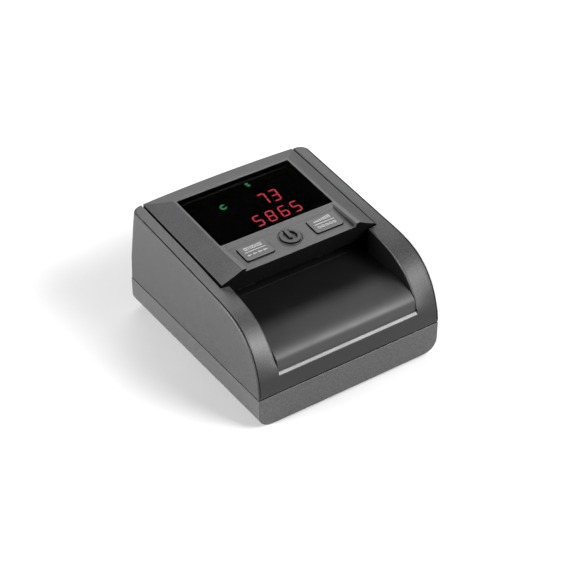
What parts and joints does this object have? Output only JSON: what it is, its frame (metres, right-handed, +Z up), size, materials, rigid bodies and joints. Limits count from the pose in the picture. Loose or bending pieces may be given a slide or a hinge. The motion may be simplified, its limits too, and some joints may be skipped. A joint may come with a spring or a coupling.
{
  "type": "counterfeit bill detector",
  "caption": "Desktop banknote checker: a motor-driven feed path under a hinged hood with a display window, two function keys and a power key, in a two-part plastic casing.",
  "frame": {"origin": "centre of the bounding box's footprint, on the surface that the feet stand on", "axes": "+X to the right as the user faces the feed opening, +Y to the rear, +Z up"},
  "size_m": [0.128, 0.141, 0.0798],
  "materials": {
    "casing_plastic": "fine-textured satin dark grey",
    "hood_plastic": "fine-textured satin darker grey",
    "ramp_plastic": "smooth satin dark grey",
    "black_plastic": "satin black moulding",
    "smoked_acrylic": "polished smoked acrylic",
    "key_plastic": "satin grey key cap",
    "rubber": "ground rubber",
    "belt_rubber": "moulded rubber belt",
    "steel": "ground steel",
    "bronze_bush": "sintered bronze",
    "motor_can": "drawn steel can",
    "white_plastic": "natural acetal",
    "circuit_board": "green solder mask",
    "sensor_glass": "polished filter glass"
  },
  "bodies": {
    "housing": {"base_shell": "casing_plastic", "upper_housing": "casing_plastic", "feed_ramp": "ramp_plastic", "guide_plate": "black_plastic", "drive_belt": "belt_rubber", "motor": "motor_can", "lower_sensor_window": "sensor_glass", "lower_sensor_board": "circuit_board", "main_board": "circuit_board", "dc_jack": "black_plastic", "update_port": "steel", "buzzer": "black_plastic", "hinge_pin_left": "steel", "hinge_pin_right": "steel", "front_bush_left": "bronze_bush", "foot_front_left": "rubber", "case_screw_front_left": "steel", "front_bush_right": "bronze_bush", "foot_front_right": "rubber", "case_screw_front_right": "steel", "rear_bush_left": "bronze_bush", "foot_rear_left": "rubber", "case_screw_rear_left": "steel", "rear_bush_right": "bronze_bush", "foot_rear_right": "rubber", "case_screw_rear_right": "steel"},
    "hood": {"top_cover": "hood_plastic", "display_window": "smoked_acrylic", "digit_pair": "black_plastic", "digit_quad": "black_plastic", "display_board": "circuit_board", "key_board": "circuit_board", "underplate": "black_plastic", "upper_sensor_window": "sensor_glass", "upper_sensor_board": "circuit_board", "magnetic_head": "steel"},
    "left_key": {"left_key": "key_plastic"},
    "right_key": {"right_key": "key_plastic"},
    "power_key": {"power_key": "key_plastic"},
    "front_drive": {"front_drive_shaft": "steel", "front_drive_roller_left": "rubber", "front_drive_roller_right": "rubber", "front_pulley": "white_plastic"},
    "rear_drive": {"rear_drive_shaft": "steel", "rear_drive_roller_left": "rubber", "rear_drive_roller_right": "rubber", "rear_pulley": "white_plastic"},
    "motor_rotor": {"motor_shaft": "steel", "motor_pulley": "white_plastic", "encoder_wheel": "black_plastic"},
    "front_pinch": {"front_pinch_shaft": "steel", "front_pinch_roller_left": "rubber", "front_pinch_roller_right": "rubber"},
    "rear_pinch": {"rear_pinch_shaft": "steel", "rear_pinch_roller_left": "rubber", "rear_pinch_roller_right": "rubber"}
  },
  "joints": [
    {"name": "hood_lift", "type": "hinge", "parent": "housing", "child": "hood", "pos_m": [0, 0.0651, 0.0698], "axis": [-1, 0, 0], "range_deg": [0, 65]},
    {"name": "left_key_press", "type": "slide", "parent": "hood", "child": "left_key", "axis": [0, 0.0765, -0.9971], "range_m": [0, 0.0008], "stiffness_N_per_m": 300},
    {"name": "right_key_press", "type": "slide", "parent": "hood", "child": "right_key", "axis": [0, 0.0765, -0.9971], "range_m": [0, 0.0008], "stiffness_N_per_m": 300},
    {"name": "power_key_press", "type": "slide", "parent": "hood", "child": "power_key", "axis": [0, 0.0765, -0.9971], "range_m": [0, 0.0008], "stiffness_N_per_m": 300},
    {"name": "rear_drive_spin", "type": "hinge", "parent": "housing", "child": "rear_drive", "pos_m": [0, 0.0455, 0.0409], "axis": [1, 0, 0], "continuous": true},
    {"name": "front_drive_spin", "type": "hinge", "parent": "housing", "child": "front_drive", "pos_m": [0, 0.0015, 0.0409], "axis": [1, 0, 0], "continuous": true},
    {"name": "motor_rotor_spin", "type": "hinge", "parent": "housing", "child": "motor_rotor", "pos_m": [0, 0.0235, 0.0193], "axis": [1, 0, 0], "continuous": true},
    {"name": "front_pinch_spin", "type": "hinge", "parent": "hood", "child": "front_pinch", "pos_m": [0, 0.0015, 0.0552], "axis": [1, 0, 0], "continuous": true},
    {"name": "rear_pinch_spin", "type": "hinge", "parent": "hood", "child": "rear_pinch", "pos_m": [0, 0.0455, 0.0552], "axis": [1, 0, 0], "continuous": true}
  ],
  "couplings": [
    {"joint": "front_drive_spin", "follows": "rear_drive_spin", "ratio": 1},
    {"joint": "motor_rotor_spin", "follows": "rear_drive_spin", "ratio": 1.3571},
    {"joint": "front_pinch_spin", "follows": "rear_drive_spin", "ratio": -1.3333},
    {"joint": "rear_pinch_spin", "follows": "rear_drive_spin", "ratio": -1.3333}
  ]
}
